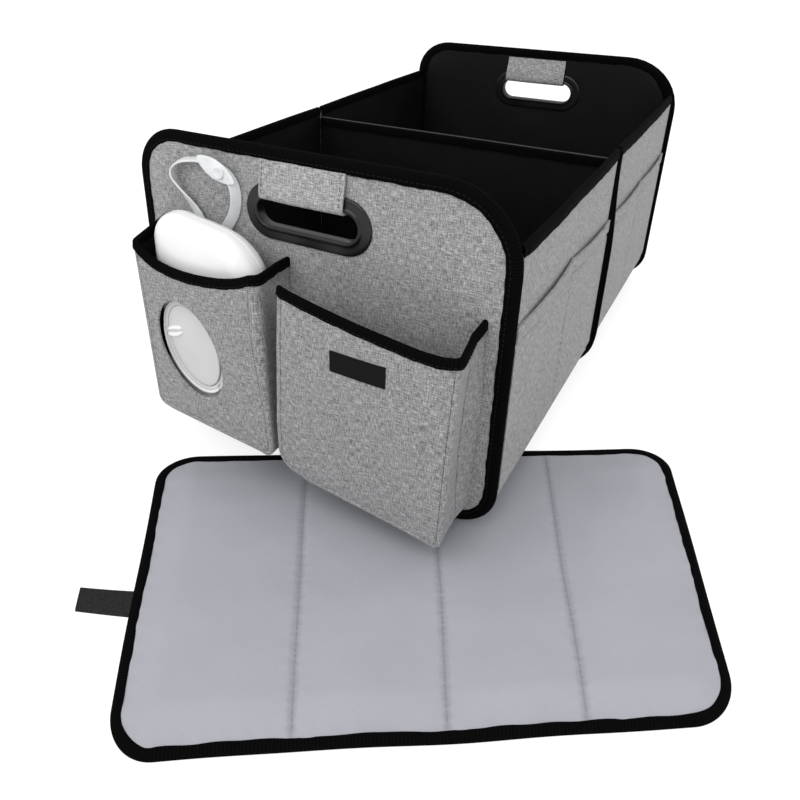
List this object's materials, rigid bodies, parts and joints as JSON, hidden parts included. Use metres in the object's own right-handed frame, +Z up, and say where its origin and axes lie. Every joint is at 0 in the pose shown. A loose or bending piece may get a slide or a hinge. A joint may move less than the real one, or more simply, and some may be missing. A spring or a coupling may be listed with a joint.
{
  "type": "trunk organizer",
  "caption": "Folding fabric trunk organizer with end handles, divider, outside pockets, a wipes case in its front pocket and a padded mat.",
  "frame": {"origin": "on the ground under the middle of the organizer, at the underside of the divider's hook strip", "axes": "+X to the right seen from the front panel with the pockets, +Y from the front panel to the rear panel, +Z up"},
  "size_m": [0.5539, 0.8823, 0.304],
  "materials": {
    "grey_cloth": "matt heather weave",
    "black_tape": "ribbed binding tape",
    "black_liner": "coated lining cloth",
    "black_plastic": "semi-gloss moulded",
    "white_plastic": "satin moulded",
    "clear_silicone": "translucent soft",
    "mat_cloth": "coated satin cloth",
    "hook_strip": "hook tape"
  },
  "bodies": {
    "front": {"front_panel": "grey_cloth", "front_liner": "black_liner", "front_binding": "black_tape", "front_grommet": "black_plastic", "front_grommet_ring": "black_plastic", "front_handle_wrap": "grey_cloth", "front_floor": "black_liner", "front_hook_strip_left": "hook_strip", "front_hook_strip_right": "hook_strip", "wipes_pocket": "grey_cloth", "wipes_pocket_tape": "black_tape", "wide_pocket": "grey_cloth", "wide_pocket_tape": "black_tape", "blank_label": "black_tape"},
    "right_side_1": {"right_side_1_wall": "grey_cloth", "right_side_1_top_tape": "black_tape", "right_side_1_pocket": "grey_cloth"},
    "right_side_2": {"right_side_2_wall": "grey_cloth", "right_side_2_top_tape": "black_tape", "right_side_2_pocket": "grey_cloth"},
    "divider": {"divider_board": "black_liner", "divider_top_tape": "black_tape", "divider_seam_tape": "black_tape", "divider_hook_strip": "hook_strip"},
    "right_side_3": {"right_side_3_wall": "grey_cloth", "right_side_3_top_tape": "black_tape", "right_side_3_pocket": "grey_cloth"},
    "right_side_4": {"right_side_4_wall": "grey_cloth", "right_side_4_top_tape": "black_tape", "right_side_4_pocket": "grey_cloth"},
    "rear": {"rear_panel": "grey_cloth", "rear_liner": "black_liner", "rear_binding": "black_tape", "rear_grommet": "black_plastic", "rear_grommet_ring": "black_plastic", "rear_handle_wrap": "grey_cloth", "rear_floor": "black_liner", "rear_hook_strip_left": "hook_strip", "rear_hook_strip_right": "hook_strip"},
    "left_side_1": {"left_side_1_wall": "grey_cloth", "left_side_1_top_tape": "black_tape", "left_side_1_pocket": "grey_cloth"},
    "left_side_2": {"left_side_2_wall": "grey_cloth", "left_side_2_top_tape": "black_tape", "left_side_2_pocket": "grey_cloth"},
    "left_side_3": {"left_side_3_wall": "grey_cloth", "left_side_3_top_tape": "black_tape", "left_side_3_pocket": "grey_cloth"},
    "left_side_4": {"left_side_4_wall": "grey_cloth", "left_side_4_top_tape": "black_tape", "left_side_4_pocket": "grey_cloth"},
    "wipes_case": {"case_base": "white_plastic", "case_cover": "white_plastic", "case_strap": "clear_silicone", "case_strap_snap": "clear_silicone"},
    "case_lid": {"case_lid": "white_plastic"},
    "mat": {"mat_pad": "mat_cloth", "mat_binding": "black_tape", "mat_tab": "black_tape"}
  },
  "joints": [
    {"name": "front_fold", "type": "hinge", "parent": "front", "child": "right_side_1", "pos_m": [0.1732, -0.2866, 0.15], "axis": [0, 0, 1], "range_deg": [0, 85], "deforming": ["front_floor", "front_hook_strip_left", "front_hook_strip_right"]},
    {"name": "right_fold_front", "type": "hinge", "parent": "right_side_1", "child": "right_side_2", "pos_m": [0.18595, -0.145, 0.15], "axis": [0, 0, 1], "range_deg": [-172, 0]},
    {"name": "right_seam_front", "type": "hinge", "parent": "right_side_2", "child": "divider", "pos_m": [0.1732, -0.0034, 0.15], "axis": [0, 0, 1], "range_deg": [0, 87]},
    {"name": "rear_fold", "type": "hinge", "parent": "divider", "child": "right_side_3", "pos_m": [0.1732, 0.0034, 0.15], "axis": [0, 0, 1], "range_deg": [0, 85], "deforming": ["rear_floor", "rear_hook_strip_left", "rear_hook_strip_right"]},
    {"name": "right_fold_rear", "type": "hinge", "parent": "right_side_3", "child": "right_side_4", "pos_m": [0.18595, 0.145, 0.15], "axis": [0, 0, 1], "range_deg": [-172, 0]},
    {"name": "right_seam_rear", "type": "hinge", "parent": "right_side_4", "child": "rear", "pos_m": [0.1732, 0.2866, 0.15], "axis": [0, 0, 1], "range_deg": [0, 87]},
    {"name": "left_seam_front", "type": "hinge", "parent": "front", "child": "left_side_1", "pos_m": [-0.1732, -0.2866, 0.15], "axis": [0, 0, 1], "range_deg": [-87, 0]},
    {"name": "left_fold_front", "type": "hinge", "parent": "left_side_1", "child": "left_side_2", "pos_m": [-0.18595, -0.145, 0.15], "axis": [0, 0, 1], "range_deg": [0, 172]},
    {"name": "left_seam_divider", "type": "hinge", "parent": "divider", "child": "left_side_3", "pos_m": [-0.1732, 0.0034, 0.15], "axis": [0, 0, 1], "range_deg": [-87, 0]},
    {"name": "left_fold_rear", "type": "hinge", "parent": "left_side_3", "child": "left_side_4", "pos_m": [-0.18595, 0.145, 0.15], "axis": [0, 0, 1], "range_deg": [0, 172]},
    {"name": "case_lift", "type": "slide", "parent": "front", "child": "wipes_case", "axis": [0, 0, 1], "range_m": [0, 0.18]},
    {"name": "lid_hinge", "type": "hinge", "parent": "wipes_case", "child": "case_lid", "pos_m": [-0.0606, -0.3437, 0.1196], "axis": [0, 0, 1], "range_deg": [0, 95]},
    {"name": "mat_slide", "type": "slide", "parent": "front", "child": "mat", "axis": [0.5505, -0.8348, 0], "range_m": [0, 0.25]}
  ],
  "couplings": [
    {"joint": "right_fold_front", "follows": "front_fold", "ratio": -2},
    {"joint": "right_seam_front", "follows": "front_fold", "ratio": 1},
    {"joint": "left_seam_front", "follows": "front_fold", "ratio": -1},
    {"joint": "left_fold_front", "follows": "front_fold", "ratio": 2},
    {"joint": "right_fold_rear", "follows": "rear_fold", "ratio": -2},
    {"joint": "right_seam_rear", "follows": "rear_fold", "ratio": 1},
    {"joint": "left_seam_divider", "follows": "rear_fold", "ratio": -1},
    {"joint": "left_fold_rear", "follows": "rear_fold", "ratio": 2}
  ]
}
